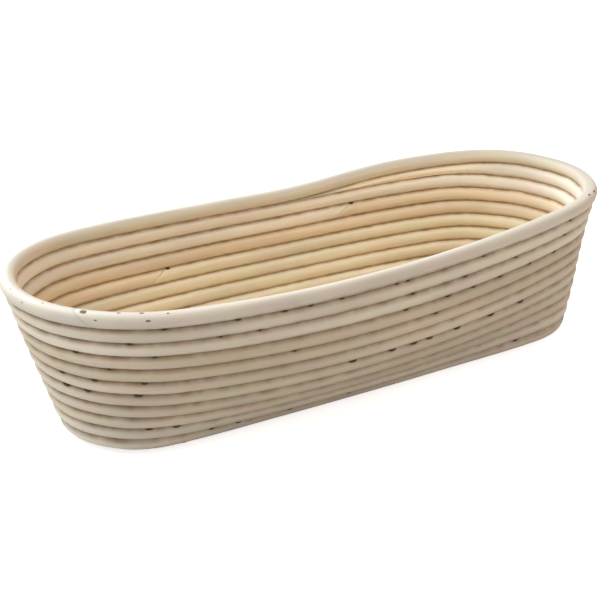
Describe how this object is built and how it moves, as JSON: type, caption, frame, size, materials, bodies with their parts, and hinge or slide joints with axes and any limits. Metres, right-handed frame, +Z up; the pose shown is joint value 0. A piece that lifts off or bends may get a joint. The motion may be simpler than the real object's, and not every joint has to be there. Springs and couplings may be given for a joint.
{
  "type": "proofing basket",
  "caption": "Long oval proofing basket with round ends: lengths of rattan cane wound into a floor and a flared wall, scarf jointed, tied by wire pins and closed by a rim cane.",
  "frame": {"origin": "middle of the flat underside, under the centre of the rim's outline", "axes": "+X along the basket, +Y across it to the side where the winding ends, +Z up"},
  "size_m": [0.356, 0.1554, 0.0919],
  "materials": {
    "heart_cane": "matt bare rattan core",
    "low_cane": "matt bare rattan core",
    "middle_cane": "matt bare rattan core",
    "top_cane": "matt bare rattan core",
    "rim_cane": "matt bleached rattan core",
    "pin_wire": "dull dark wire"
  },
  "bodies": {
    "root": {"strip_middle": "heart_cane", "strip_front": "heart_cane", "strip_back": "heart_cane", "floor_cane": "heart_cane", "wall_cane_1": "low_cane", "wall_cane_2": "low_cane", "wall_cane_3": "middle_cane", "wall_cane_4": "middle_cane", "wall_cane_5": "top_cane", "wall_cane_6": "top_cane", "rim_cane": "rim_cane", "strip_pins": "pin_wire", "floor_pins": "pin_wire", "wall_pins_1": "pin_wire", "wall_pins_2": "pin_wire", "wall_pins_3": "pin_wire", "wall_pins_4": "pin_wire", "wall_pins_5": "pin_wire", "wall_pins_6": "pin_wire", "rim_pins": "pin_wire"}
  },
  "joints": []
}
